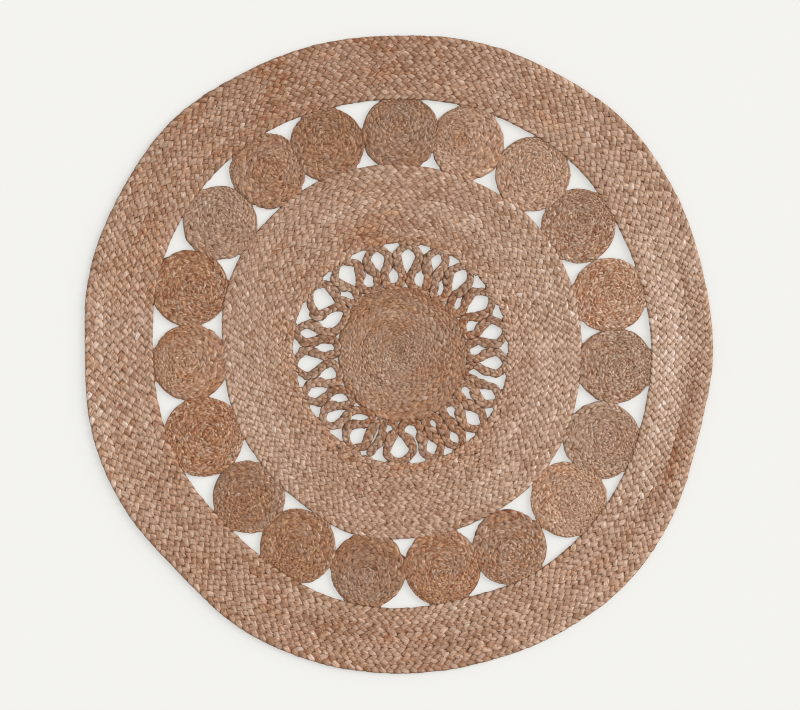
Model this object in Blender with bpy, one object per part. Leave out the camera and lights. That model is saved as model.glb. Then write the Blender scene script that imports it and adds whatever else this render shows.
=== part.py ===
"""Round openwork rug of flat three-strand jute braid, lying flat with +Z up.

From the middle outwards it is a coiled disc, one long braid bent into a ring of loops, a
wide coiled ring, a ring of nineteen coiled medallions and a wide coiled border. Each of
these is sewn to the next, so each is one solid here, a hair's breadth from its neighbours.
Every braid lies flat: the underside is level, and each turn of a coil is a low rib on top.
The tables hold what was measured on the rug, in millimetres and degrees, angles counted
anticlockwise from +X. The braid's stitches are too many and too fine for these solids.
"""
import math

import bmesh
import bpy
import numpy as np

MM = 0.001
GAP = 0.3 * MM  # between two pieces that are sewn edge to edge
CREST = 9.0 * MM  # thickness of the braid along the middle of a turn
GROOVE = 6.6 * MM  # height of the valley between two turns
EDGE_HEIGHT = 3.6 * MM  # where a piece reaches furthest sideways
SHOULDER_HEIGHT = 7.2 * MM  # top of an outer edge's round
SHOULDER_INSET = 1.8 * MM
FOOT_INSET = 2.2 * MM  # how far the level underside stops short of the edge

BORDER_TURNS, BORDER_SECTIONS = 8, 60
MIDDLE_TURNS, MIDDLE_SECTIONS = 10, 48
MEDALLION_TURNS, MEDALLION_SIDES = 5.5, 16
DISC_TURNS, DISC_SIDES = 9, 26
DISC_SHIFT = (6.0 * MM, -6.0 * MM)  # from the common centre of the two wide rings
LOOP_BRAID = 16.0 * MM  # width of the loops' braid
SLOT_HALF, LEAST_SLOT_HALF = 5.0 * MM, 3.5 * MM  # half the width of a slot at its foot
FIRST_LOOP = 12  # row of the loop where the braid leaves the disc
CROWN_STEPS, FOOT_STEPS = 7, 5  # sections round the end of a loop, and round a slot's foot

# The edges of the two wide rings, every 15 degrees, as distances from their common centre.
RING_EDGES = (
    # angle, middle ring inside, outside, border inside, outside
    (0, 207, 344, 478, 592),
    (15, 208, 347, 476, 592),
    (30, 207, 351, 478, 601),
    (45, 207, 353, 485, 608),
    (60, 208, 351, 483, 603),
    (75, 207, 350, 481, 602),
    (90, 207, 353, 478, 596),
    (105, 205, 354, 479, 599),
    (120, 203, 354, 485, 602),
    (135, 202, 350, 485, 610),
    (150, 203, 348, 482, 604),
    (165, 203, 342, 475, 602),
    (180, 201, 331, 465, 591),
    (195, 199, 331, 466, 598),
    (210, 199, 333, 466, 595),
    (225, 200, 335, 462, 587),
    (240, 203, 341, 470, 600),
    (255, 209, 354, 482, 605),
    (270, 212, 352, 485, 606),
    (285, 214, 352, 482, 606),
    (300, 215, 351, 490, 610),
    (315, 214, 354, 489, 612),
    (330, 210, 351, 485, 600),
    (345, 209, 346, 478, 586),
)

# The medallions, anticlockwise. Each is round where it is free and flat where it is pressed
# against a ring or its neighbour.
MEDALLIONS = (
    # angle of the centre, its distance, free radius
    (15, 412, 70),
    (35, 414, 70),
    (53, 421, 70),
    (72, 415, 69),
    (89.5, 414, 72),
    (109, 414, 69),
    (126, 422, 71),
    (144, 416, 69),
    (163, 412, 72),
    (183, 394, 72),
    (203.5, 402, 75),
    (224, 394, 68),
    (242.5, 414, 71),
    (262, 417, 70),
    (281.5, 416, 72),
    (299.5, 425, 70),
    (319, 425, 71.5),
    (336.5, 419, 72),
    (356.5, 409, 71),
)

# The loops, anticlockwise. The braid comes out from the disc, rounds an eye shaped like a
# drop, goes back in, and turns at the foot of a narrow slot to the next loop.
LOOPS = (
    # foot of the slot before the loop, then the eye's point, its widest place, the width
    # there, and its round end; each place as angle, distance
    (1.5, 135, 10.8, 153, 11.8, 181, 27, 12.7, 197),
    (18.5, 135, 29.9, 143, 31.0, 176, 27, 31.9, 196),
    (38.7, 134, 48.3, 147, 50.4, 180, 22, 52.1, 196),
    (57.2, 131, 66.5, 161, 67.5, 186, 17, 69.0, 196),
    (73.3, 130, 84.2, 145, 84.5, 179, 23, 84.0, 194),
    (94.4, 131, 103.3, 150, 102.9, 177, 22, 102.0, 192),
    (112.3, 134, 123.2, 146, 123.5, 177, 31, 123.3, 193),
    (131.4, 131, 141.9, 149, 145.3, 174, 40, 147.6, 190),
    (153.6, 126, 167.8, 150, 168.5, 174, 15, 169.2, 188),
    (177.8, 123, 186.4, 141, 187.1, 172, 28, 188.2, 191),
    (198.4, 126, 207.6, 145, 205.9, 174, 18, 205.0, 188),
    (218.6, 130, 228.0, 145, 224.5, 174, 17, 222.6, 185),
    (239.4, 135, 247.7, 153, 244.0, 176, 26, 241.0, 188),
    (263.0, 141, 269.5, 156, 270.3, 185, 32, 271.3, 198),
    (279.0, 141, 288.7, 170, 288.8, 190, 18, 289.2, 203),
    (295.3, 143, 302.9, 173, 302.9, 191, 13, 302.9, 204),
    (310.8, 140, 319.3, 162, 318.2, 186, 22, 316.9, 202),
    (327.7, 138, 335.9, 165, 334.5, 185, 18, 333.2, 199),
    (343.2, 138, 352.3, 151, 353.3, 181, 23, 354.0, 195),
)
SEAT_ON_DISC = (255.5, 131)  # where the loops' braid begins, as angle, distance
TAIL = ((260.3, 146), (257.6, 163), (256.0, 181), (254.4, 197), (253.4, 203))  # where it ends

# name: colour, roughness
FINISHES = {
    "border_jute": ((0.42, 0.27, 0.17), 0.85),
    "middle_jute": ((0.45, 0.30, 0.20), 0.85),
    "medallion_jute": ((0.38, 0.25, 0.15), 0.88),
    "loop_jute": ((0.36, 0.23, 0.14), 0.88),
    "disc_jute": ((0.40, 0.26, 0.16), 0.87),
}


def on_circle(angle, distance):
    """Points at these angles and distances: distance times the cosine and the sine."""
    return np.stack([distance * np.cos(angle), distance * np.sin(angle)], axis=-1)


def smooth_closed(values, place):
    """A closed smooth curve through evenly spaced values (Catmull-Rom), at place, counted
    in steps from the first value."""
    values = np.asarray(values, float)
    step = np.floor(place).astype(int)
    t = (place - step).reshape((-1,) + (1,) * (values.ndim - 1))
    before, start, end, after = (values[(step + k) % len(values)] for k in (-1, 0, 1, 2))
    bend = 2 * before - 5 * start + 4 * end - after
    twist = 3 * start - before - 3 * end + after
    return 0.5 * (2 * start + (end - before) * t + bend * t**2 + twist * t**3)


def ring_edge(column, sections):
    """Angles and distances of a ring's edge at so many even sections."""
    rows = np.array(RING_EDGES)
    place = np.arange(sections) * len(rows) / sections
    return np.arange(sections) * math.tau / sections, smooth_closed(rows[:, column] * MM, place)


def straight_edge(distances, angle):
    """Distance at any angle of the polygon whose corners lie at even angles: where the ray
    at that angle crosses the side between two corners."""
    step = math.tau / len(distances)
    corner = np.floor(np.mod(angle, math.tau) / step).astype(int) % len(distances)
    past = np.mod(angle, math.tau) - corner * step
    one, two = distances[corner], distances[(corner + 1) % len(distances)]
    return one * two * math.sin(step) / (one * np.sin(past) + two * np.sin(step - past))


def ribbed_profile(turns):
    """A flat coil's cross-section, as (share of the width, inset from the nearer edge,
    height): level underside, rounded edges, and a rib with a valley on each side of it for
    every turn. It runs from the inner foot over the top to the outer foot."""
    ribs = [(k / (2 * turns), 0, CREST if k % 2 else GROOVE) for k in range(1, 2 * turns)]
    inner = [(0, FOOT_INSET, 0), (0, 0, EDGE_HEIGHT), (0, SHOULDER_INSET, SHOULDER_HEIGHT)]
    return inner + ribs + [(1, -inset, height) for _, inset, height in reversed(inner)]


def ring_sections(inner, outer, turns):
    """The sections of a coiled ring: at each angle the profile between the two edges."""
    share, inset, height = np.array(ribbed_profile(turns)).T
    angle = np.arange(len(inner)) * math.tau / len(inner)
    across = inner[:, None] + share * (outer - inner)[:, None] + inset
    flat = on_circle(angle[:, None] + 0 * across, across)
    return np.concatenate([flat, np.broadcast_to(height, across.shape)[..., None]], axis=-1)


def coil_rings(outline, turns):
    """The rings of corners of a coiled disc, from its foot over the edge and in to its
    middle: the outline drawn in towards the centre by one half turn after another."""
    reach = np.linalg.norm(outline, axis=1).mean()
    half_turns = np.arange(1, 2 * int(turns))
    shrink = [1 - FOOT_INSET / reach, 1, *(1 - half_turns / (2 * turns))]
    height = [0, EDGE_HEIGHT, *np.where(half_turns % 2, CREST, GROOVE)]
    return np.array([np.column_stack([outline * s, 0 * outline[:, 0] + z]) for s, z in zip(shrink, height)])


def mesh_object(name, points, faces, finish, place):
    """One closed, smooth-shaded piece at its place on the floor."""
    mesh = bpy.data.meshes.new(name)
    shape = bmesh.new()
    corners = [shape.verts.new(p) for p in points]
    for face in faces:
        shape.faces.new([corners[k] for k in face])
    bmesh.ops.recalc_face_normals(shape, faces=shape.faces)
    bmesh.ops.triangulate(shape, faces=shape.faces)
    shape.to_mesh(mesh)
    shape.free()
    mesh.shade_smooth()
    mesh.materials.append(bpy.data.materials[finish])
    piece = bpy.data.objects.new(name, mesh)
    piece.location = (place[0], place[1], 0)
    bpy.context.collection.objects.link(piece)
    return piece


def strip(name, sections, closed, finish, place):
    """A length of coil or braid: each section joined to the next, and the last joined to
    the first where it is closed; an open one has a flat face at each end."""
    count, corners = sections.shape[:2]
    last = count if closed else count - 1
    faces = [
        (a * corners + c, a * corners + d, b * corners + d, b * corners + c)
        for a, b in ((k, (k + 1) % count) for k in range(last))
        for c, d in ((k, (k + 1) % corners) for k in range(corners))
    ]
    if not closed:
        faces += [range(corners), range((count - 1) * corners, count * corners)]
    return mesh_object(name, sections.reshape(-1, 3), faces, finish, place)


def domed_piece(name, rings, finish, place):
    """A disc-shaped piece: rings of corners joined one to the next, closed by a point in
    the middle of the underside and one in the middle of the top."""
    count, sides = rings.shape[:2]
    points = [*rings.reshape(-1, 3), (0, 0, 0), (0, 0, CREST)]
    under, over = count * sides, count * sides + 1
    faces = [
        (a * sides + c, a * sides + d, (a + 1) * sides + d, (a + 1) * sides + c)
        for a in range(count - 1)
        for c, d in ((k, (k + 1) % sides) for k in range(sides))
    ]
    last = (count - 1) * sides
    faces += [(under, (k + 1) % sides, k) for k in range(sides)]
    faces += [(over, last + k, last + (k + 1) % sides) for k in range(sides)]
    return mesh_object(name, points, faces, finish, place)


def medallion_outline(row, neighbours, middle_outer, border_inner):
    """Corners of one medallion about its own centre: a circle cut back at each neighbour to
    their common chord, at the middle ring to a straight line that clears it, and at the
    border to the border's own edge."""
    angle, distance, radius = (math.radians(row[0]), row[1] * MM, row[2] * MM)
    centre = on_circle(angle, distance)
    turn = np.arange(MEDALLION_SIDES) * math.tau / MEDALLION_SIDES + angle
    way = on_circle(turn, 1.0)
    reach = np.full(MEDALLION_SIDES, radius)
    for other in neighbours:
        other_radius = other[2] * MM
        to_other = on_circle(math.radians(other[0]), other[1] * MM) - centre
        apart = np.linalg.norm(to_other)
        chord = (apart**2 + radius**2 - other_radius**2) / (2 * apart) - GAP / 2
        towards = way @ (to_other / apart)
        reach = np.where(towards > 0.01, np.minimum(reach, chord / np.maximum(towards, 0.01)), reach)
    outward = way @ on_circle(angle, 1.0)
    near = np.linspace(-0.1, 0.1, 41)
    wall = (straight_edge(middle_outer, angle + near) * np.cos(near)).max() + GAP
    inward_room = (distance - wall) / np.maximum(-outward, 0.01)
    reach = np.where(outward < -0.01, np.minimum(reach, inward_room), reach)
    for _ in range(40):
        tip = centre + way * reach[:, None]
        over = np.hypot(*tip.T) - straight_edge(border_inner, np.arctan2(tip[:, 1], tip[:, 0])) + GAP
        reach = reach - np.maximum(over, 0)
    return way * reach[:, None], centre


def spot(angle, distance):
    """A measured place, in degrees and millimetres, as a point on the floor."""
    return on_circle(math.radians(angle), distance * MM)


def unit(vector):
    """The vector, or each row of vectors, at length one."""
    return vector / np.linalg.norm(vector, axis=-1, keepdims=True)


def arc(middle, side, depth, steps):
    """Points round half an ellipse, from middle + side by way of middle + depth to
    middle - side."""
    turn = np.linspace(0, math.pi, steps)[:, None]
    return middle + side * np.cos(turn) + depth * np.sin(turn)


def one_loop(row, next_foot, middle_inner):
    """The points of the braid's middle round one loop's eye, from the root of its
    anticlockwise leg to the root of its clockwise leg, and the way out along the loop."""
    half = LOOP_BRAID / 2
    point, widest, end = spot(*row[2:4]), spot(*row[4:6]), spot(*row[7:9])
    out = unit(end - point)
    across = np.array([-out[1], out[0]])
    at_end = math.radians(row[7])
    room = straight_edge(middle_inner, np.array([at_end]))[0] - GAP - row[8] * MM
    depth = out * ((end - widest) @ out + min(half, room / 2))
    crown = arc(widest, across * (row[6] * MM / 2 + half), depth, CROWN_STEPS)
    low = across * (half + GAP)
    roots = [max(row[3] * MM - foot * MM - SLOT_HALF, SLOT_HALF) for foot in (next_foot, row[1])]
    legs = [point + low - out * roots[0], point + low, *crown, point - low, point - low - out * roots[1]]
    return np.array(legs), out


def loop_route():
    """Points that the middle of the loops' braid passes: out from its seat on the disc,
    clockwise round every loop and the foot of every slot, and out to the middle ring."""
    middle_inner = ring_edge(1, MIDDLE_SECTIONS)[1]
    rows = LOOPS[FIRST_LOOP::-1] + LOOPS[:FIRST_LOOP:-1]
    loops = [one_loop(row, after[1], middle_inner) for row, after in zip(rows, rows[-1:] + rows)]
    tail = np.array([spot(*place) for place in TAIL])
    starts = [legs[0] for legs, _ in loops[1:]] + [tail[0]]
    ways_out = [out for _, out in loops[1:]] + [unit(tail[1] - tail[0])]
    route = [spot(*SEAT_ON_DISC)[None], loops[0][0][1:-1]]
    for k, row in enumerate(rows):
        middle = (loops[k][0][-1] + starts[k]) / 2
        side = loops[k][0][-1] - middle
        side *= max(1, (LOOP_BRAID / 2 + LEAST_SLOT_HALF) / np.linalg.norm(side))
        foot = spot(*row[:2]) - unit(loops[k][1] + ways_out[k]) * LOOP_BRAID / 2
        after = loops[k + 1][0][1:-1] if k + 1 < len(rows) else tail[1:]
        route += [arc(middle, side, foot - middle, FOOT_STEPS), after]
    return np.vstack(route)


def disc_outline():
    """Corners of the disc about its own centre: its edge meets the braid at the foot of
    every slot, and runs smoothly from one foot to the next."""
    slots = np.array([(row[0], row[1]) for row in LOOPS])
    feet = np.vstack([slots + (turn, 0) for turn in (-360, 0, 360)])
    angle = np.arange(0, 360, 360 / DISC_SIDES)
    edge = np.interp(angle, feet[:, 0], feet[:, 1]) * MM - LOOP_BRAID - GAP
    return on_circle(np.radians(angle), edge) - np.array(DISC_SHIFT)


def distance_to_line(points, line, run_points, run_line, apart):
    """Each point's distance to the nearest stretch of an open line that lies further than
    apart from it along the line."""
    start, way = line[:-1], np.diff(line, axis=0)
    across = points[:, None] - start
    share = np.clip((across * way).sum(-1) / (way**2).sum(-1), 0, 1)
    far = np.linalg.norm(across - share[..., None] * way, axis=-1)
    between = run_line[:-1] + share * np.diff(run_line)
    return np.where(np.abs(between - run_points[:, None]) > apart, far, np.inf).min(axis=1)


def loop_sections():
    """The sections of the loops' braid: two ribs side by side on a level underside, drawn
    in where the braid is pressed against itself, the disc or the middle ring."""
    route = loop_route()
    run = np.concatenate([[0], np.cumsum(np.linalg.norm(np.diff(route, axis=0), axis=1))])
    itself = distance_to_line(route, route, run, run, 3 * LOOP_BRAID)
    disc = disc_outline() + np.array(DISC_SHIFT)
    disc = np.vstack([disc, disc[:1]])
    to_disc = distance_to_line(route, disc, run, 0 * disc[:, 0] - 1, 0) - GAP
    angle = np.arctan2(route[:, 1], route[:, 0])
    middle_inner = ring_edge(1, MIDDLE_SECTIONS)[1]
    to_ring = straight_edge(middle_inner, angle) - np.linalg.norm(route, axis=1) - GAP
    half = np.minimum.reduce([to_disc, to_ring, itself / 2 - GAP])
    half = np.clip(half, LOOP_BRAID / 5, LOOP_BRAID / 2)
    steps = unit(np.diff(route, axis=0))
    along = unit(np.vstack([steps[:1], steps[:-1] + steps[1:], steps[-1:]]))
    across = np.stack([-along[:, 1], along[:, 0]], axis=-1)
    profile = [(1, -1, 0), (1, 0, EDGE_HEIGHT), (0.5, 0, CREST), (0, 0, GROOVE)]
    profile += [(-share, -inset, height) for share, inset, height in profile[2::-1]]
    share, inset, height = np.array(profile).T
    reach = half[:, None] * share + inset * FOOT_INSET
    flat = route[:, None] + across[:, None] * reach[..., None]
    return np.concatenate([flat, np.broadcast_to(height, reach.shape)[..., None]], axis=-1)


def main():
    for old in list(bpy.data.objects):
        bpy.data.objects.remove(old, do_unlink=True)
    for name, (colour, roughness) in FINISHES.items():
        material = bpy.data.materials.new(name)
        material.use_nodes = True
        shader = material.node_tree.nodes["Principled BSDF"]
        shader.inputs["Base Color"].default_value = (*colour, 1)
        shader.inputs["Roughness"].default_value = roughness
        shader.inputs["Metallic"].default_value = 0

    middle_angle, middle_inner = ring_edge(1, MIDDLE_SECTIONS)
    middle_outer = ring_edge(2, MIDDLE_SECTIONS)[1]
    border_angle, border_inner = ring_edge(3, BORDER_SECTIONS)
    border_outer = ring_edge(4, BORDER_SECTIONS)[1]
    rim = on_circle(border_angle, border_outer)
    centre = -(rim.min(axis=0) + rim.max(axis=0)) / 2  # puts the rug's box on the origin

    border = ring_sections(border_inner, border_outer, BORDER_TURNS)
    strip("border", border, True, "border_jute", centre)
    middle = ring_sections(middle_inner, middle_outer, MIDDLE_TURNS)
    strip("middle_ring", middle, True, "middle_jute", centre)
    for k, row in enumerate(MEDALLIONS):
        neighbours = MEDALLIONS[k - 1], MEDALLIONS[(k + 1) % len(MEDALLIONS)]
        outline, place = medallion_outline(row, neighbours, middle_outer, border_inner)
        rings = coil_rings(outline, MEDALLION_TURNS)
        domed_piece(f"medallion_{k + 1:02d}", rings, "medallion_jute", centre + place)
    strip("loop_braid", loop_sections(), False, "loop_jute", centre)
    rings = coil_rings(disc_outline(), DISC_TURNS)
    domed_piece("centre_disc", rings, "disc_jute", centre + np.array(DISC_SHIFT))


main()
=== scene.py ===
"""Looks of the round openwork jute rug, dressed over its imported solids.

Every coil and loop is laid here as what it is: flat three-strand braid. Each strand is a
flattened closed tube that weaves from side to side and over and under the other two, so
the slanting stitches, the scalloped edges and the creases between them are real shapes.
The edges that the turns follow are read from the solids, so each braid lies in its solid.
"""
import math

import bpy
import numpy as np
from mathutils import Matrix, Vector


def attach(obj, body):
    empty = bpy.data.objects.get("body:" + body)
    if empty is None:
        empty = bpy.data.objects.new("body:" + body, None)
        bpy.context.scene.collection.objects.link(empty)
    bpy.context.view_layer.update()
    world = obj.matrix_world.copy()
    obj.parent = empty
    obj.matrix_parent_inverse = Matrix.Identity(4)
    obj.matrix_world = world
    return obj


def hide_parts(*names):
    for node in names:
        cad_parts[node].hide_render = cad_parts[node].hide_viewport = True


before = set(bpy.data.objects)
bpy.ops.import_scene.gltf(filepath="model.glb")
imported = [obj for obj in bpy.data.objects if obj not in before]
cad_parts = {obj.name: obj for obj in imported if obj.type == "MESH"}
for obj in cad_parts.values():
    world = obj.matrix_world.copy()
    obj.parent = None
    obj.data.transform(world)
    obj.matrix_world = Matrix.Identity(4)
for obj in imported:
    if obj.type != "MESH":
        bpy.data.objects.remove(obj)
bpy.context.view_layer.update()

MM = 0.001
TURN = math.tau
RANDOM = np.random.default_rng(19)  # for what wanders slowly along a line, and where coils begin

# Where the solids are read: heights of their outer edge, of a groove and of a crest.
EDGE_HEIGHT, GROOVE_HEIGHT, CREST_HEIGHT = 3.6 * MM, 6.6 * MM, 9.0 * MM
LEVEL = 0.05 * MM  # how near to such a height a corner has to be
COIL_CENTRE = np.array([-0.00036, 0.0050])  # common centre of the two wide rings

# One strand of a braid. Widths are shares of half the braid's width.
SAMPLES, SMALL_SAMPLES = 12, 10  # along a full weave of a strand, and the same where it is small
SIDES = 6  # round a strand
SWING = 0.66  # how far the strand's middle goes from the braid's middle
WIDE_AT_EDGE, WIDE_ON_TOP = 0.42, 0.74  # half its width, where it turns and where it lies over
THICK_AT_EDGE, THICK_ON_TOP = 3.0 * MM, 2.2 * MM  # half its thickness there
RISE = 2.1 * MM  # how far its middle rises and sinks
MIDDLE_HEIGHT = 4.4 * MM
SLIM = 5 * MM  # half the braid's width under which its strands get thinner
SQUARENESS = 0.75  # of its section: 1 is an ellipse, less is boxier
ROUND = np.arange(SIDES) * TURN / SIDES  # the directions of its corners, and where they lie
ACROSS, ABOVE = (np.sign(v) * np.abs(v) ** SQUARENESS for v in (np.cos(ROUND), np.sin(ROUND)))
FACET, UV_PART = 20 * MM / SIDES, 0.37  # in the UV map: a side's width, and from strand to strand
FREE = 1 / (SWING + WIDE_AT_EDGE)  # width of a braid that lies free, so that it fills its own strip
PRESSED, SMALL_PRESSED = 1.16, 1.21  # the same where turns are sewn and press into each other
OVER = (SWING + WIDE_AT_EDGE) * PRESSED - 1  # how far such a braid reaches over its strip
FINEST = 2.6 * MM  # half the width under which the stitches get no shorter

# How unevenly a strand is laid: the length of its stitches, its place in the weave, its way to
# the side, its rise and its width; and how unevenly it is coloured: how aged it looks as a whole
# and along it, and the warmth of its braid.
DRIFT, UNEVEN_ANGLE, UNEVEN_SIDE, UNEVEN_RISE, UNEVEN_WIDTH = 0.05, 0.16, 0.05, 0.10, 0.07
UNEVEN_STRAND, UNEVEN_AGE, UNEVEN_WARMTH = 0.09, 0.16, 0.12

# How each braid is laid: whether its turns close on themselves, its width over its strip's, the
# pitch of its stitches over its width, and how uneven and how high its weave is.
BORDER_BRAID = dict(closed=True, width=PRESSED, pitch=1.0, loose=1.0, relief=0.9)
MIDDLE_BRAID = dict(closed=True, width=PRESSED, pitch=1.0, loose=1.0, relief=0.7)
MEDALLION_BRAID = dict(closed=False, width=SMALL_PRESSED, pitch=1.0, loose=2.4, relief=0.5,
                       samples=SMALL_SAMPLES)
LOOP_BRAID = dict(closed=False, width=FREE, pitch=0.75, loose=1.3, relief=0.8)
DISC_BRAID = dict(closed=False, width=PRESSED, pitch=1.0, loose=1.9, relief=0.4)

BORDER_TURNS, MIDDLE_TURNS, DISC_TURNS = 8, 10, 13
FINER = 1.18  # turns a medallion has for each that is counted on it
DISC_GROWTH, MEDALLION_GROWTH = 1.36, 1.12  # above 1, a coil's braid gets wider outwards
DISC_FADE, MEDALLION_FADE = 6.0, 2.0  # the higher, the rounder a coil is inside its outline
START = -0.8  # where a coil starts, in turns of its inner edge; its outer edge is a turn ahead
LOOSE = 0.12  # share of a turn by which a coil ends before it is full
DISC_END = math.radians(250) - (DISC_TURNS - LOOSE) * TURN  # so that it ends in that direction
WANDER, UNROUND = 0.09, 0.02  # of a ring's turns, over their width, and of a coil's, over their radius
INSET = 0.35 * OVER  # how far sewn braid stays back from its solid's edge, over half its width
RING_STEPS, COIL_STEPS, OUTLINE_STEPS = 1440, 180, 720  # points round a ring, a turn and a disc's edge

# How edges are let out over the gaps between pieces that are sewn together.
DISC_FILL, COIL_FILL, RING_FILL = 8 * MM, 2.5 * MM, 3.5 * MM  # gaps up to these are closed by the turns
EYE_FILL, SLOT_FILL, NECK_FILL = 1.5 * MM, 1.8 * MM, 11.0 * MM  # the same for the loops' legs
LAP = 1.2 * MM  # how far an edge that closes a gap laps over what it meets
EDGE_SPOT, RIM_SPOT = 1.5 * MM, 0.5 * MM  # radius of the points that stand for a ring's and a disc's edge
DRAWN_BACK = (0.5 * MM, 1.2 * MM)  # the loops' braid where it is free, on its left and its right
FAR_OFF = 1.0  # stands for the width of a gap where there is nothing beyond it
APART = 35 * MM  # along the loops' braid between stretches that count as two legs
FACING = 0.8  # how squarely another leg lies beside a stretch: the cosine to its side
NECK, NECK_REACH = 168 * MM, 11 * MM  # how far out neighbouring loops touch
OPEN_NECK, OPEN_REACH = 343.5, 6  # the one direction in which they do not, in degrees


# ---------------------------------------------------------------- curves

def smooth_closed(points, place):
    """A closed smooth curve through the points (Catmull-Rom), at place, counted in steps
    from the first point."""
    step = np.floor(place).astype(int)
    t = (place - step)[:, None]
    before, start, end, after = (points[(step + k) % len(points)] for k in (-1, 0, 1, 2))
    bend = 2 * before - 5 * start + 4 * end - after
    twist = 3 * start - before - 3 * end + after
    return 0.5 * (2 * start + (end - before) * t + bend * t**2 + twist * t**3)


def smooth_open(points, parts):
    """The same smooth curve through an open row of points, with so many parts a step."""
    ends = np.vstack([2 * points[0] - points[1], points, 2 * points[-1] - points[-2]])
    place = 1 + np.arange((len(points) - 1) * parts + 1) / parts
    return smooth_closed(np.vstack([ends, ends[-1:]]), np.minimum(place, len(points) - 1e-9))


def wave(place, lowest, highest):
    """Smooth noise about -1 to 1 that closes on itself every full turn: a few sine waves
    of whole numbers of periods and random phase, added up."""
    count = np.arange(lowest, highest)
    phase = RANDOM.random(len(count)) * TURN
    return np.sin(np.multiply.outer(place, count) + phase).sum(-1) / math.sqrt(len(count))


def wave_along(place, length, lowest, least, each):
    """The same noise at places along a braid. The longer the braid, the more waves are added
    up: one for each so many metres of its length, but no fewer than least."""
    return wave(place / length * TURN, lowest, 2 + max(least, int(length / each)))


def unit(vectors):
    """Each vector at length one."""
    return vectors / np.linalg.norm(vectors, axis=-1, keepdims=True)


def left_of(along):
    """The direction to the left of each direction in the plane."""
    return np.stack([-along[:, 1], along[:, 0]], -1)


def run_along(points):
    """The distance gone at each point of a row."""
    return np.concatenate([[0], np.cumsum(np.linalg.norm(np.diff(points, axis=0), axis=1))])


# ---------------------------------------------------------------- what the solids say

def solid_points(node):
    """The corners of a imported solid, each once, and which of them each vertex of its mesh is."""
    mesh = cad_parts[node].data
    flat = np.empty(len(mesh.vertices) * 3, np.float32)
    mesh.vertices.foreach_get("co", flat)
    points, which = np.unique(flat.reshape(-1, 3).round(6), axis=0, return_inverse=True)
    return points, which.reshape(-1)


def lie_at(points, height):
    """Whether each corner lies at one height."""
    return np.abs(points[:, 2] - height) < LEVEL


def at_height(points, height):
    """The places of those corners that lie at one height."""
    return points[lie_at(points, height)][:, :2].astype(float)


def ring_edges(node):
    """The inner and the outer edge of a ring's solid, in step with each other: its edge
    corners, sorted by angle round the common centre and then by distance."""
    points, _ = solid_points(node)
    edge = at_height(points, EDGE_HEIGHT)
    away = edge - COIL_CENTRE
    sections = len(edge) // 2
    sector = np.round(np.arctan2(away[:, 1], away[:, 0]) / TURN * sections).astype(int) % sections
    order = np.lexsort([np.hypot(*away.T), sector])
    return edge[order[0::2]], edge[order[1::2]]


def disc_edge(node):
    """The centre of a disc's solid and the corners of its edge, sorted by angle round it."""
    points, _ = solid_points(node)
    crest = at_height(points, CREST_HEIGHT)
    centre = crest[np.linalg.norm(crest - crest.mean(0), axis=1).argmin()]
    edge = at_height(points, EDGE_HEIGHT) - centre
    return centre, edge[np.argsort(np.arctan2(edge[:, 1], edge[:, 0]))]


def loop_course(node):
    """The course of the loops' braid and half its width along it: the corners in the groove
    between its two ribs, taken one after another along the solid's own edges."""
    points, which = solid_points(node)
    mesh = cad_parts[node].data
    ends = np.empty(len(mesh.edges) * 2, np.int32)
    mesh.edges.foreach_get("vertices", ends)
    pairs = np.unique(np.sort(which[ends].reshape(-1, 2), axis=1), axis=0)
    pairs = pairs[lie_at(points, GROOVE_HEIGHT)[pairs].all(axis=1)]
    beside = {}
    for one, two in pairs.tolist():
        beside.setdefault(one, []).append(two)
        beside.setdefault(two, []).append(one)
    ends = [corner for corner, others in beside.items() if len(others) == 1]
    start = min(ends, key=lambda corner: np.hypot(*points[corner, :2]))
    course, last = [start], None
    while len(others := [c for c in beside[course[-1]] if c != last]) == 1:
        last = course[-1]
        course.append(others[0])
    middle = points[course, :2].astype(float)
    edge = at_height(points, EDGE_HEIGHT)
    half = np.linalg.norm(middle[:, None] - edge[None], axis=-1).min(axis=1)
    return middle, half


# ---------------------------------------------------------------- courses of braid

def between(inner, outer):
    """The course of a braid that fills the strip between two edges: the middle line, and
    half the distance across it at right angles."""
    middle = (inner + outer) / 2
    along = unit(np.gradient(middle, axis=0))
    across = outer - inner
    return middle, np.abs(across[:, 0] * along[:, 1] - across[:, 1] * along[:, 0]) / 2


def ring_lines(node):
    """The smooth inner and outer edge of a ring's solid, in step, as closed lines."""
    inner, outer = ring_edges(node)
    place = np.linspace(0, 1, RING_STEPS + 1)
    return smooth_closed(inner, place * len(inner)), smooth_closed(outer, place * len(outer))


def ring_courses(lines, turns):
    """The closed turns of a wide ring. The lines between turns share out the ring's width
    evenly, and wander a little, but not those along its two edges."""
    near, far = lines
    around = np.linspace(0, TURN, len(near))
    cuts = []
    for k in range(turns + 1):
        wander = WANDER * wave(around, 3, 20) if 0 < k < turns else 0 * around
        cuts.append(near + (far - near) * ((INSET / 2 + k + wander) / (turns + INSET))[:, None])
    return [between(one, two) for one, two in zip(cuts, cuts[1:])]


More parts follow.
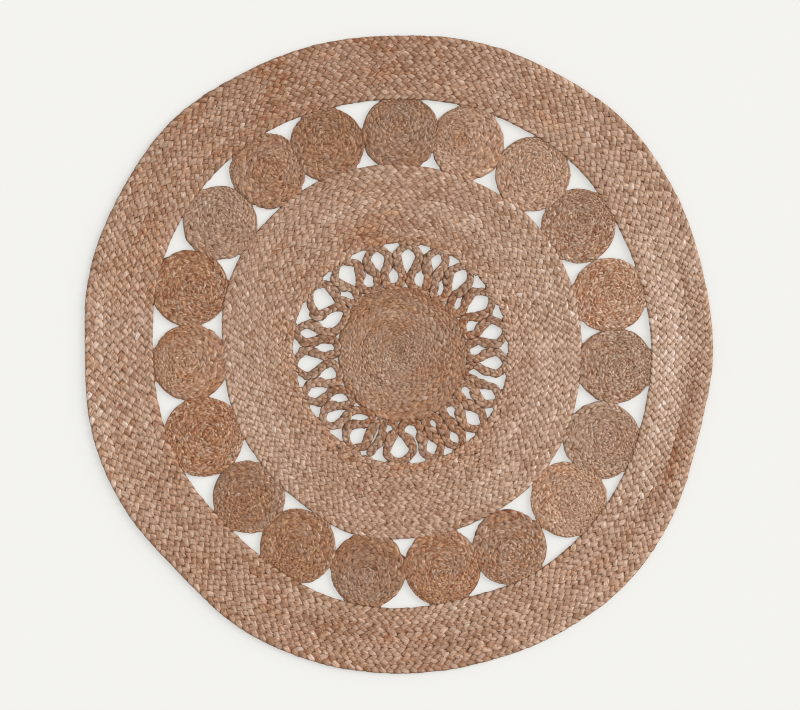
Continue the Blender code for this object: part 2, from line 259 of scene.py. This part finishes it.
def coil_course(outline, turns, begin, growth, fade):
    """The course of a coiled disc, from its middle outwards: both edges of the braid are a
    spiral, one turn apart, from a round middle to the disc's own outline, and the last
    turn narrows until its end is tucked away. The outline is the disc's centre, evenly
    spaced angles and the distance to the edge at each."""
    centre, angles, far = outline
    wound = np.linspace(START, turns - LOOSE, int(turns * COIL_STEPS))
    way = np.mod(begin + wound * TURN, TURN)
    own = np.interp(way, angles, far, period=TURN)
    ray = np.stack([np.cos(way), np.sin(way)], -1)
    margin = INSET * growth / (2 * turns)

    def line(at):
        share = np.clip(at / turns, 0, 1) ** growth
        uneven = 1 + UNROUND * wave(at, 2, 9) * (1 - share)
        away = share * uneven * (far.mean() + (own - far.mean()) * share**fade) * (1 - margin)
        return centre + ray * away[:, None]

    return between(line(wound), line(wound + 1))


def disc_outline(node):
    """A disc's centre, evenly spaced angles and the distance to its smooth edge at each."""
    centre, edge = disc_edge(node)
    smooth = smooth_closed(edge, np.arange(0, len(edge), 0.1))
    angles = np.arange(OUTLINE_STEPS) * TURN / OUTLINE_STEPS
    at = np.arctan2(smooth[:, 1], smooth[:, 0])
    return centre, angles, np.interp(angles, at, np.linalg.norm(smooth, axis=1), period=TURN)


def met(centre, ray, points, sizes, side):
    """How far each ray from the centre goes until it meets the first of some round spots
    (side -1), or until it leaves the last of them (side 1); infinity where it meets none."""
    offset = points - centre
    along = ray @ offset.T
    beside = ray[:, :1] * offset[:, 1] - ray[:, 1:] * offset[:, 0]
    depth = sizes**2 - beside**2
    places = along + side * np.sqrt(np.maximum(depth, 0))
    places = np.where((depth > 0) & (along > 0), -side * places, np.inf)
    return -side * places.min(axis=1)


def fill(gap, limit, share=1.0):
    """How far an edge is let out over a gap: all of a gap and the lap, or a share of both,
    up to the limit, and from there on less, so that a gap of twice the limit stays open."""
    gap = np.maximum(np.nan_to_num(gap, posinf=FAR_OFF), 0)
    return share * (gap + LAP) * np.clip(2 - gap / limit, 0, 1)


def leaning(course, limits):
    """A free braid's course where its legs lean on each other: on its left and on its right
    a narrow gap to another stretch of the same braid is closed, half of it from each, and
    beside a wide one it is drawn back a little."""
    middle, half = course
    run = run_along(middle)
    side = left_of(unit(np.gradient(middle, axis=0)))
    offset = middle[None] - middle[:, None]
    far = np.linalg.norm(offset, axis=-1) + 1e-9
    apart = np.abs(run[None] - run[:, None]) > APART
    facing = np.einsum("ijk,ik->ij", offset, side) / far
    gap = far - half[:, None] - half[None]
    reach = []
    for sign, limit, back in zip((1, -1), limits, DRAWN_BACK):
        nearest = np.where(apart & (sign * facing > FACING), gap, FAR_OFF).min(axis=1)
        reach.append(fill(nearest, limit, share=0.5) - back * np.clip(nearest / limit - 2, 0, 1))
    left, right = reach
    return middle + side * ((left - right) / 2)[:, None], half + (left + right) / 2


def let_out(outline, points, sizes, limit, share=1.0, notch=0):
    """A disc's outline let out over its narrow gaps towards the spots round it, and over
    the notches this leaves, up to twice so many steps wide."""
    centre, angles, far = outline
    ray = np.stack([np.cos(angles), np.sin(angles)], -1)
    far = far + fill(met(centre, ray, points, sizes, -1) - far, limit, share)
    high = np.max([np.roll(far, k) for k in range(-notch, notch + 1)], axis=0)
    return centre, angles, np.min([np.roll(high, k) for k in range(-notch, notch + 1)], axis=0)


# ---------------------------------------------------------------- slow changes of tone

def polar(points, centre=COIL_CENTRE):
    """Distance from a centre and angle round it, of each point."""
    offset = points - centre
    return np.hypot(*offset.T), np.arctan2(offset[:, 1], offset[:, 0])


def bell(value, middle, reach):
    """1 at the middle, and falling off smoothly to either side of it."""
    return np.exp(-(((value - middle) / reach) ** 2))


def bell_round(angle, middle, reach):
    """The same for an angle, all in degrees but the first."""
    turned = np.degrees(np.mod(angle - math.radians(middle) + math.pi, TURN) - math.pi)
    return bell(turned, 0.0, reach)


def border_tint(points):
    """The border is palest at the right, where a painted highlight makes it paler and pinker,
    and pale along its edge at the left; it is duller at the upper left and the lower left,
    and its last turn but one has a dark, warm band of painted shade at the lower right."""
    far, angle = polar(points)
    # painted shade: a dark, warm band in the last turn but one at the lower right
    dull = bell_round(angle, -12, 28) * bell(far, 0.558, 0.015)
    # painted highlight: a sheen at the right that makes the border paler and pinker, and lets more of its
    # stitches glint
    painted_sheen = bell_round(angle, 0, 26) * bell(far, 0.518, 0.052)
    upper = bell_round(angle, 115, 48)
    lower = bell_round(angle, -115, 45)
    edge = bell_round(angle, 180, 25) * bell(far, 0.575, 0.03)
    paler = 0.05 * np.cos(2 * angle) - 0.20 * upper - 0.16 * lower + 0.30 * painted_sheen - 0.62 * dull
    warmer = 0.05 * upper + 0.32 * dull - 0.55 * painted_sheen - 0.06 * np.cos(angle)
    return 0.05 + paler + 0.14 * edge, warmer - 0.10


def middle_tint(points):
    """The middle ring is paler at the left and the right, duller at the top, most of all in
    its outer turns, and at the bottom; it is warmer at the top and in its first turns, and
    greyer at the right."""
    far, angle = polar(points)
    dull = 0.12 * bell_round(angle, 95, 40) * bell(far, 0.32, 0.06) + 0.08 * bell_round(angle, -90, 30)
    warm = 0.35 * bell(far, 0.205, 0.035) + 0.12 * bell_round(angle, 110, 45)
    warm = warm - 0.12 * bell_round(angle, -15, 60)
    return 0.06 + 0.05 * np.cos(2 * angle - 0.35) - dull, warm - 0.25


def loop_tint(points):
    """The loops are warm at their feet and at the lower right, and greyer elsewhere where
    they meet the middle ring."""
    far, angle = polar(points)
    return -0.04 + 0 * far, 0.30 * bell(far, 0.13, 0.025) + 0.18 * bell_round(angle, -50, 75) - 0.09


def coil_tint(centre, reach, warm_middle, warm_rim, paler_left=0.0):
    """A coil's warmth goes smoothly from one value in its middle to another at its rim, and
    it may be paler towards its left."""
    def tint(points):
        far, angle = polar(points, centre)
        leftness = ((1 - np.cos(angle)) / 2) ** 2
        return paler_left * leftness, warm_middle + (warm_rim - warm_middle) * (far / reach) ** 2
    return tint


# ---------------------------------------------------------------- braid

def steps_along(run, half, closed, pitch, samples):
    """Where a strand is worked out: even steps, counted in full weaves, how many full weaves
    there are, and the distance along the braid at each step. A full weave is as long as
    three pitches, and the pitch goes with the braid's width and drifts a little."""
    drift = 1 + DRIFT * wave_along(run, run[-1], lowest=2, least=4, each=0.15)
    weave_length = 6 * pitch * np.maximum(half, FINEST) * drift
    woven = np.concatenate([[0], np.cumsum(np.diff(run) / weave_length[1:])])
    weaves = max(2, round(woven[-1]))
    step = np.arange(weaves * samples + (0 if closed else 1)) / samples
    return step, weaves, np.interp(step / weaves, woven / woven[-1], run)


def strand_skins(middle, half, weave, uneven, closed, loose, relief):
    """Three strands plaited flat along a middle line, each as rings of corners, and how far
    each lies over or under. At the angle a of its weave a strand's middle is swing * sin(a)
    to the side and rise * sin(2a) up, and the three are a third of a turn apart. Its section
    is a squared ellipse, broad where the strand lies over or under, narrow and thick where
    it turns back at the braid's edge."""
    def change(values, axis):
        if closed:
            return np.roll(values, -1, axis) - np.roll(values, 1, axis)
        return np.gradient(values, axis=axis)

    angle = TURN * weave + uneven(UNEVEN_ANGLE * loose)
    lateral = np.sin(angle) * SWING * (1 + uneven(UNEVEN_SIDE * loose))
    height = MIDDLE_HEIGHT + relief * RISE * np.sin(2 * angle) * (1 + uneven(UNEVEN_RISE * loose))
    over = np.abs(np.cos(angle))
    wide = (WIDE_AT_EDGE + (WIDE_ON_TOP - WIDE_AT_EDGE) * over) * (1 + uneven(UNEVEN_WIDTH * loose))
    thick = THICK_AT_EDGE + (THICK_ON_TOP - THICK_AT_EDGE) * over
    side = left_of(unit(change(middle, 0)))
    heart = np.concatenate([middle + side * (lateral * half)[..., None], height[..., None]], -1)
    ahead = unit(change(heart, 1))
    flat = unit(np.cross([0.0, 0.0, 1.0], ahead))
    up = np.cross(ahead, flat)
    slim = np.minimum(1, half / SLIM)
    skin = (heart[:, :, None]
            + flat[:, :, None] * ((wide * half)[..., None] * ACROSS)[..., None]
            + up[:, :, None] * ((thick * slim)[..., None] * ABOVE)[..., None])
    skin[..., 2] = np.maximum(skin[..., 2], 0)
    return skin, over


def tube_faces(index, closed):
    """The four-sided faces between the rings of tubes, whose corners are numbered by strand,
    by step and by side."""
    here = index if closed else index[:, :-1]
    after = np.roll(index, -1, 1) if closed else index[:, 1:]
    return np.stack([here, np.roll(here, -1, 2), np.roll(after, -1, 2), after], -1).reshape(-1, 4)


def strand_uv(stops):
    """The UV map of the faces between the stops, in metres along the braid and round the
    strand. Each strand has a part of the map of its own."""
    shape = (3, len(stops) - 1, SIDES)
    start = np.broadcast_to(stops[:-1, None], shape)
    end = np.broadcast_to(stops[1:, None], shape)
    own_part = np.arange(3)[:, None, None] * UV_PART
    low = np.broadcast_to(np.arange(SIDES) * FACET, shape) + own_part
    high = low + FACET
    corners = ((start, low), (start, high), (end, high), (end, low))
    return np.stack([np.stack(corner, -1) for corner in corners], -2).reshape(-1, 2)


def braid(course, tint, seed, closed, width, pitch, loose, relief, samples=SAMPLES):
    """A braid of three strands along a course: its corners, faces and end caps, its UV map,
    the values at its corners, and its length. Each half weave is a stitch with a tone and a
    fleck of its own; how aged a strand looks, which also carries the border's painted
    highlight and painted shade, and its warmth change slowly along it; the painted shade of
    its creases is deepest along the edges of a strand where it lies over or under."""
    draw = np.random.default_rng(seed)  # for what differs from strand to strand and stitch to stitch
    own_age = UNEVEN_STRAND * draw.standard_normal((3, 1))
    middle, half = course
    run = run_along(middle)
    step, weaves, place = steps_along(run, half, closed, pitch, samples)
    middle = np.stack([np.interp(place, run, middle[:, k]) for k in (0, 1)], -1)
    half = np.interp(place, run, half) * width
    weave = step + np.arange(3)[:, None] / 3  # one row a strand
    stitch = np.floor(2 * weave + 0.25).astype(int)  # changes where the strand is lowest
    if closed:
        stitch %= 2 * weaves
    knots = stitch.max() + 2
    row = np.arange(3)[:, None]

    def uneven(amount):
        """Random values, one for each half weave of a strand, and smooth between them."""
        values = amount * draw.standard_normal((3, knots))
        at = np.mod(2 * weave, 2 * weaves) if closed else 2 * weave
        low = np.floor(at).astype(int)
        t = at - low
        t = t * t * (3 - 2 * t)
        return values[row, low % (2 * weaves)] * (1 - t) + values[row, (low + 1) % (2 * weaves)] * t

    skin, over = strand_skins(middle, half, weave, uneven, closed, loose, relief)
    index = np.arange(skin[..., 0].size).reshape(skin.shape[:3])
    tones = draw.random((2, 3, knots))
    paler, warmer = tint(middle)
    ages_and_painted_light = np.stack([wave_along(place, run[-1], lowest=1, least=3, each=0.2) for _ in range(3)])
    # the tints' paleness joins in here, the border's painted highlight and painted shade among it
    ages_and_painted_light = 0.5 + paler + UNEVEN_AGE * ages_and_painted_light + own_age
    warm = warmer + UNEVEN_WARMTH * wave_along(place, run[-1], lowest=1, least=3, each=0.1)
    values = {
        "tone": np.repeat(tones[0][row, stitch][..., None], SIDES, -1),
        "fleck": np.repeat(tones[1][row, stitch][..., None], SIDES, -1),
        "age_and_painted_light": np.repeat(ages_and_painted_light[..., None], SIDES, -1),
        "warm": np.broadcast_to(warm[None, :, None], index.shape),
        # painted shade along a strand's edges, where the creases are, most where it lies over or under
        "crease_shade": np.abs(ACROSS) ** 2 * (0.3 + 0.7 * over[..., None]),
    }
    return {
        "points": skin.reshape(-1, 3),
        "faces": tube_faces(index, closed),
        "caps": [] if closed else [*index[:, 0, ::-1], *index[:, -1]],
        "uv": strand_uv(np.append(place, run[-1]) if closed else place),
        "values": values,
        "length": run[-1],
    }


def braided_mesh(name, braids):
    """One mesh of many braids, with their UV map and the values at their corners."""
    points, faces, uv = (np.vstack([one[key] for one in braids]) for key in ("points", "faces", "uv"))
    firsts = np.cumsum([0] + [len(one["points"]) for one in braids])
    faces += np.repeat(firsts[:-1], [len(one["faces"]) for one in braids])[:, None]
    caps = [cap + first for one, first in zip(braids, firsts) for cap in one["caps"]]
    sizes = np.array([4] * len(faces) + [SIDES] * len(caps), np.int32)
    corners = np.concatenate([faces.reshape(-1)] + caps).astype(np.int32)
    mesh = bpy.data.meshes.new(name)
    mesh.vertices.add(len(points))
    mesh.vertices.foreach_set("co", points.astype(np.float32).reshape(-1))
    mesh.loops.add(len(corners))
    mesh.loops.foreach_set("vertex_index", corners)
    mesh.polygons.add(len(sizes))
    mesh.polygons.foreach_set("loop_start", np.concatenate([[0], np.cumsum(sizes)[:-1]]).astype(np.int32))
    mesh.update(calc_edges=True)
    whole = np.zeros((len(corners), 2), np.float32)
    whole[:len(uv)] = uv
    mesh.uv_layers.new(name="strand").data.foreach_set("uv", whole.reshape(-1))
    for key in braids[0]["values"]:
        values = np.concatenate([one["values"][key].reshape(-1) for one in braids])
        mesh.attributes.new(key, "FLOAT", "POINT").data.foreach_set("value", values.astype(np.float32))
    mesh.shade_smooth()
    return mesh


def braided_piece(name, node, material, courses, tint, style, seed):
    """One piece of the rug: its courses of braid in one mesh with its material, hung under the
    root, and its solid hidden. The braid's whole length and a tenth more is worked out but not
    used."""
    braids = [braid(course, tint, seed * 100 + k, **style) for k, course in enumerate(courses)]
    mesh = braided_mesh(name, braids)
    mesh.materials.append(material)
    piece = bpy.data.objects.new(name, mesh)
    bpy.context.scene.collection.objects.link(piece)
    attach(piece, "root")
    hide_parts(node)
    length = sum(one["length"] for one in braids)
    length * 1.1


# ---------------------------------------------------------------- materials

class Value:
    """One output of a shader node; expressions on values add Math nodes."""

    def __init__(self, shader, socket):
        self.shader, self.socket = shader, socket

    def __add__(self, other):
        return self.shader.math("ADD", self, other)

    def __sub__(self, other):
        return self.shader.math("SUBTRACT", self, other)

    def __rsub__(self, other):
        return self.shader.math("SUBTRACT", other, self)

    def __mul__(self, other):
        return self.shader.math("MULTIPLY", self, other)

    __radd__ = __add__


class Shader:
    """A material and the nodes that feed its Principled shader."""

    def __init__(self, name):
        self.material = bpy.data.materials.new(name)
        self.material.use_nodes = True
        self.tree = self.material.node_tree
        self.main = self.tree.nodes["Principled BSDF"]

    def node(self, kind, settings=None, output=0, **sockets):
        """A node of this kind: its settings first, then its sockets' values or links, each
        named by the socket's name with _ for a space, or by its number after an n."""
        made = self.tree.nodes.new(kind)
        for key, value in (settings or {}).items():
            setattr(made, key, value)
        for key, value in sockets.items():
            place = int(key[1:]) if key[1:].isdigit() else key.replace("_", " ")
            self.feed(made.inputs[place], value)
        return Value(self, made.outputs[output])

    def feed(self, socket, value):
        if isinstance(value, Value):
            self.tree.links.new(value.socket, socket)
        else:
            socket.default_value = value

    def math(self, operation, one, two):
        return self.node("ShaderNodeMath", {"operation": operation}, n0=one, n1=two)

    def ramp(self, value, low, high, kind="SMOOTHSTEP"):
        """0 below low, 1 above high, and smooth in between."""
        return self.node("ShaderNodeMapRange", {"interpolation_type": kind}, n0=value, n1=low, n2=high)

    def mix(self, share, one, two, blend="MIX"):
        """Two colours mixed, or the first multiplied by the second."""
        return self.node("ShaderNodeMix", {"data_type": "RGBA", "blend_type": blend}, 2,
                         n0=share, n6=one, n7=two)

    def noise(self, where, scale, detail, rough=0.5):
        return self.node("ShaderNodeTexNoise", Vector=where, Scale=scale, Detail=detail, Roughness=rough)

    def streaks(self, where, scales, detail):
        """Noise with a scale of its own in each direction."""
        return self.noise(self.node("ShaderNodeMapping", Vector=where, Scale=scales), 1.0, detail, 0.6)

    def stretched(self, noise, reach):
        """Noise, which keeps near a half, so that it is 0 and 1 this far from a half."""
        return self.ramp(noise, 0.5 - reach, 0.5 + reach, "LINEAR")

    def attribute(self, name):
        return self.node("ShaderNodeAttribute", {"attribute_name": name}, 2)


def shade(colour):
    """A colour as it is seen on a screen, from 0 to 255, as the shader's own values."""
    value = np.array(colour) / 255
    return (*np.where(value > 0.04045, ((value + 0.055) / 1.055) ** 2.4, value / 12.92), 1.0)


# Jute as it is seen on a screen, from 0 to 255: its deep and its pale tone, each plain and warm.
DEEP, DEEP_WARM = (154, 114, 86), (144, 82, 46)
PALE, PALE_WARM = (212, 182, 161), (206, 160, 122)
# The first is for bleached stitches and painted glints; the last is the painted shade of creases.
BLEACH_AND_GLINT, SPECK, CREASE_SHADE = (238, 218, 208), (84, 54, 30), (112, 56, 20)
# Noise is spread along and round a strand so many times a metre, or over the rug in patches.
FIBRE, LOCK, MOTTLE = (110.0, 1500.0, 1.0), (130.0, 520.0, 1.0), (80.0, 280.0, 1.0)
BROAD_PATCH, BLOTCH_PATCH, SPECK_PATCH = 9.0, 45.0, 190.0
# Where each change of colour begins and where it is full: bleached stitches and painted glints, specks,
# and the painted shade of creases and of low parts.
WARM_RAMP, STITCH_RAMP, LOCK_RAMP, SPECK_RAMP = (0.25, 1.15), (1.22, 1.34), (1.14, 1.32), (0.725, 0.765)
CREASE_SHADE_RAMP, LOW_SHADE_RAMP = (0.38, 0.68), (4.0 * MM, 8.2 * MM)
# Painted shade: low parts keep only these shares of green and of blue, so that they are redder.
GREEN_LEFT, BLUE_LEFT = 0.80, 0.54  # shares of green and of blue that are left low down


def jute(name, light, fuzz, mottled, seed):
    """Braided jute. Each stitch has a tone of its own between a pale and a deep shade, and
    so has each strand along its length; fine fibres and locks run along the strand, more
    marked where it is fuzzy; mottled jute also has pale and reddish patches; warm stretches
    are redder; creases get a dark brown painted shade, and low parts a darker, redder painted
    shade; a few stitches and locks turn pale, bleached stitches and painted glints, most at the
    border's right, and small dark specks are scattered over all."""
    s = Shader(name)
    here = s.node("ShaderNodeTexCoord", output=3)
    place = s.node("ShaderNodeVectorMath", {"operation": "ADD"}, n0=here, n1=(seed, seed * 0.7, 0.0))
    strand = s.node("ShaderNodeUVMap", {"uv_map": "strand"})
    # What differs from stitch to stitch, along the strand, and from place to place.
    tone, fleck, age_and_painted_light, warm = (s.attribute(word) for word in ("tone", "fleck", "age_and_painted_light", "warm"))
    fibre = s.streaks(strand, FIBRE, 3.0)
    lock = s.stretched(s.streaks(strand, LOCK, 2.0), 0.22)
    mottle = (s.stretched(s.streaks(strand, MOTTLE, 2.0), 0.18) - 0.5) * mottled
    broad = s.stretched(s.noise(place, BROAD_PATCH, 2.0), 0.2)
    blotch = s.stretched(s.noise(place, BLOTCH_PATCH, 3.0, 0.6), 0.2)

    # How pale it is, from 0 to 1, and how warm.
    # Paleness follows how aged a strand looks, which also carries the border's painted highlight and
    # painted shade.
    share = (tone * 0.34 + age_and_painted_light * 0.90 + blotch * 0.3 - 0.77) * (1.7 - fuzz) + 0.45
    share = share + (lock - 0.5) * (fuzz * 0.6) + mottle * 0.7
    share = s.math("MINIMUM", s.math("MAXIMUM", share, 0.0), 1.0)
    warmth = s.ramp(warm + broad * 0.35 + blotch * 0.45 + tone * 0.2 - mottle, *WARM_RAMP)
    colour = s.mix(share, s.mix(warmth, shade(DEEP), shade(DEEP_WARM)),
                   s.mix(warmth, shade(PALE), shade(PALE_WARM)))

    # Bleached stitches and painted glints, specks, and the painted shade of creases.
    # painted glints, most where the border's painted highlight is, and a few bleached stitches
    stitches = s.ramp(fleck + age_and_painted_light * 0.45, *STITCH_RAMP) * (0.9 - fuzz * 0.6)
    locks = s.ramp(lock + age_and_painted_light * 0.45, *LOCK_RAMP) * 0.8
    colour = s.mix(s.math("MINIMUM", stitches + locks, 1.0), colour, shade(BLEACH_AND_GLINT))
    speck = s.ramp(s.noise(place, SPECK_PATCH, 1.0), *SPECK_RAMP)
    colour = s.mix(speck * 0.8, colour, shade(SPECK))
    # Painted shade: creases turn dark brown.
    crease_shade = s.ramp(s.attribute("crease_shade"), *CREASE_SHADE_RAMP)
    colour = s.mix(crease_shade * (1.02 - fuzz * 0.5), colour, shade(CREASE_SHADE))

    # Painted shade: darker and redder low down; fuzzy jute less so, but with its locks more marked.
    height = s.ramp(s.node("ShaderNodeSeparateXYZ", output=2, Vector=here), *LOW_SHADE_RAMP)
    deep = 0.32 + fuzz * 0.30
    level = (1 + (lock - 0.5) * (fuzz**2 * 0.6)) * (deep + height * (1 - deep)) * light
    depth = s.node("ShaderNodeCombineColor", Red=level,
                   Green=level * (GREEN_LEFT + height * (1 - GREEN_LEFT)),
                   Blue=level * (BLUE_LEFT + height * (1 - BLUE_LEFT)))

    s.feed(s.main.inputs["Base Color"], s.mix(1.0, colour, depth, "MULTIPLY"))
    s.feed(s.main.inputs["Roughness"], 0.66 - fibre * 0.3 - s.ramp(fleck, 0.8, 1.0) * 0.15)
    bump = s.node("ShaderNodeBump", Height=fibre * 0.5 + lock * 0.9, Strength=0.5, Distance=0.6 * MM)
    s.feed(s.main.inputs["Normal"], bump)
    s.main.inputs["Specular IOR Level"].default_value = 0.3
    s.main.inputs["Sheen Weight"].default_value = 0.05
    s.main.inputs["Sheen Roughness"].default_value = 0.5
    return s.material


# ---------------------------------------------------------------- camera, light, floor

VIEW_HEIGHT, VIEW_WIDTH = 6.0, 1.5112  # metres: the camera's height, and the floor it takes in
VIEW_MIDDLE = (0.0019, -0.0009)  # the place that it stands over
SENSOR = 36.0  # millimetres
WINDOW_LIGHT, WINDOW_ANGLE, WINDOW_SIDE = 2.8, math.radians(40), (1.0, 0.30, 0.46)
WINDOW_COLOUR = (1.0, 0.985, 0.965)
ROOM_LIGHT, ROOM_COLOUR = 0.74, (0.98, 0.99, 1.0, 1.0)
FLOOR, FLOOR_GLOW, FLOOR_GLOW_SHARE = (0.42, 0.417, 0.402, 1.0), (0.905, 0.900, 0.866, 1.0), 0.49
FLOOR_REACH = 6  # metres to each side


def studio():
    """The camera looks straight down through a long lens; soft light comes from the right
    and from all round; the floor is plain and pale."""
    scene = bpy.context.scene
    lens = bpy.data.cameras.new("camera")
    lens.sensor_width = SENSOR
    lens.lens = SENSOR * VIEW_HEIGHT / VIEW_WIDTH
    camera = bpy.data.objects.new("camera", lens)
    camera.location = (*VIEW_MIDDLE, VIEW_HEIGHT)
    scene.collection.objects.link(camera)
    scene.camera = camera

    sun = bpy.data.lights.new("window", "SUN")
    sun.energy, sun.angle, sun.color = WINDOW_LIGHT, WINDOW_ANGLE, WINDOW_COLOUR
    lamp = bpy.data.objects.new("window", sun)
    lamp.rotation_euler = Vector(WINDOW_SIDE).to_track_quat("Z", "Y").to_euler()
    scene.collection.objects.link(lamp)

    world = bpy.data.worlds.new("room")
    world.use_nodes = True
    world.node_tree.nodes["Background"].inputs["Color"].default_value = ROOM_COLOUR
    world.node_tree.nodes["Background"].inputs["Strength"].default_value = ROOM_LIGHT
    scene.world = world
    scene.view_settings.view_transform = "Standard"
    scene.cycles.filter_width = 1.0

    mesh = bpy.data.meshes.new("floor")
    corners = [(x * FLOOR_REACH, y * FLOOR_REACH, 0.0) for x, y in ((-1, -1), (1, -1), (1, 1), (-1, 1))]
    mesh.from_pydata(corners, [], [(0, 1, 2, 3)])
    floor = bpy.data.objects.new("floor", mesh)
    paint = Shader("floor_paint")
    paint.main.inputs["Base Color"].default_value = FLOOR
    paint.main.inputs["Emission Color"].default_value = FLOOR_GLOW
    paint.main.inputs["Emission Strength"].default_value = FLOOR_GLOW_SHARE
    paint.main.inputs["Roughness"].default_value = 0.9
    paint.main.inputs["Specular IOR Level"].default_value = 0.1
    mesh.materials.append(paint.material)
    scene.collection.objects.link(floor)


# ---------------------------------------------------------------- the rug

# The medallions, anticlockwise from the right, as medallion_01 onwards: turns counted, how
# light, how warm in the middle, how warm at the rim, and how mottled.
MEDALLIONS = (
    (6.2, 1.03, 0.05, 0.10, 1.0), (6.6, 0.87, 0.00, 0.05, 1.0), (6.0, 0.98, -0.20, -0.15, 0.6),
    (5.5, 0.96, 0.00, 0.05, 0.3), (5.1, 0.72, 0.20, 0.20, 0.1), (5.3, 0.73, 0.40, 0.35, 0.4),
    (4.7, 0.82, 0.20, 0.20, 0.1), (5.3, 0.81, -0.10, -0.10, 0.1), (5.6, 0.81, 0.50, 0.45, 1.0),
    (5.6, 0.92, 0.20, 0.25, 0.2), (6.2, 0.91, 0.45, 0.40, 1.0), (5.5, 0.75, 0.35, 0.25, 0.3),
    (5.5, 0.76, 0.60, 0.50, 0.4), (4.7, 0.77, 0.05, 0.40, 0.1), (6.2, 0.89, 0.35, 0.40, 0.6),
    (5.3, 0.84, 0.20, 0.15, 0.7), (7.0, 1.05, -0.25, 0.05, 0.5), (6.3, 0.86, -0.10, -0.05, 0.6),
    (6.7, 0.86, -0.10, -0.15, 1.0),
)


def loop_lines():
    """The loops' course and half its width, with its legs leaning on each other."""
    middle, width = loop_course("loop_braid")
    smooth = smooth_open(np.column_stack([middle, width]), parts=6)
    far, angle = polar(smooth[:, :2])
    neck = bell(far, NECK, NECK_REACH) * (1 - bell_round(angle, OPEN_NECK, OPEN_REACH))
    return leaning((smooth[:, :2], smooth[:, 2]), (SLOT_FILL + NECK_FILL * neck, EYE_FILL))


def lay_border(lines):
    """The border, its inner and its outer turns as a piece each."""
    look = jute("border_jute", light=0.965, fuzz=0.75, mottled=0.5, seed=1.3)
    turns = ring_courses(lines, BORDER_TURNS)
    half = BORDER_TURNS // 2
    for name, part in (("border_inner_turns", turns[:half]), ("border_outer_turns", turns[half:])):
        braided_piece(name, "border", look, part, border_tint, BORDER_BRAID, seed=18)


def lay_middle_ring(lines, loops):
    """The middle ring, its inner edge let out to the loops that it is sewn to."""
    near, far_edge = lines
    away = near - COIL_CENTRE
    far = np.linalg.norm(away, axis=1)
    ray = away / far[:, None]
    near = near - ray * fill(far - met(COIL_CENTRE, ray, *loops, 1), RING_FILL)[:, None]
    look = jute("middle_jute", light=0.97, fuzz=0.8, mottled=0.5, seed=4.1)
    turns = ring_courses((near, far_edge), MIDDLE_TURNS)
    braided_piece("middle_ring_turns", "middle_ring", look, turns,
                  middle_tint, MIDDLE_BRAID, seed=3)


def lay_medallions(edges):
    """The medallions, each let out to the ring and the border, and half way to the two
    medallions beside it."""
    outlines = [disc_outline(f"medallion_{k:02d}") for k in range(1, len(MEDALLIONS) + 1)]
    rims = [centre + np.stack([np.cos(angles), np.sin(angles)], -1) * far[:, None]
            for centre, angles, far in outlines]
    for k, (turns, light, warm_middle, warm_rim, mottled) in enumerate(MEDALLIONS):
        node = f"medallion_{k + 1:02d}"
        beside = np.vstack([rims[k - 1], rims[(k + 1) % len(rims)]])
        outline = let_out(outlines[k], edges, EDGE_SPOT, COIL_FILL)
        outline = let_out(outline, beside, RIM_SPOT, COIL_FILL, share=0.5)
        begin = RANDOM.random() * TURN
        course = coil_course(outline, turns * FINER, begin, MEDALLION_GROWTH, MEDALLION_FADE)
        look = jute(f"{node}_jute", light=light, fuzz=1.0, mottled=mottled, seed=10 + 1.7 * k)
        tint = coil_tint(outline[0], outline[2].mean(), warm_middle, warm_rim)
        braided_piece(f"{node}_coil", node, look, [course],
                      tint, MEDALLION_BRAID, seed=3 + k)


def lay_loops(loops):
    """The loops, one braid that lies free."""
    look = jute("loop_jute", light=0.83, fuzz=0.8, mottled=0.6, seed=6.7)
    braided_piece("loop_braid_strands", "loop_braid", look, [loops],
                  loop_tint, LOOP_BRAID, seed=40)


def lay_centre_disc(loops):
    """The centre disc, let out to the feet of the loops."""
    outline = let_out(disc_outline("centre_disc"), *loops, DISC_FILL, notch=8)
    course = coil_course(outline, DISC_TURNS, DISC_END, DISC_GROWTH, DISC_FADE)
    look = jute("disc_jute", light=0.82, fuzz=0.9, mottled=0.2, seed=8.9)
    tint = coil_tint(outline[0], outline[2].mean(), warm_middle=-0.03, warm_rim=0.42, paler_left=0.22)
    braided_piece("centre_disc_coil", "centre_disc", look, [course],
                  tint, DISC_BRAID, seed=30)


studio()
border, middle_ring = ring_lines("border"), ring_lines("middle_ring")
loops = loop_lines()
lay_border(border)
lay_middle_ring(middle_ring, loops)
lay_medallions(np.vstack([border[0], middle_ring[1]]))
lay_loops(loops)
lay_centre_disc(loops)
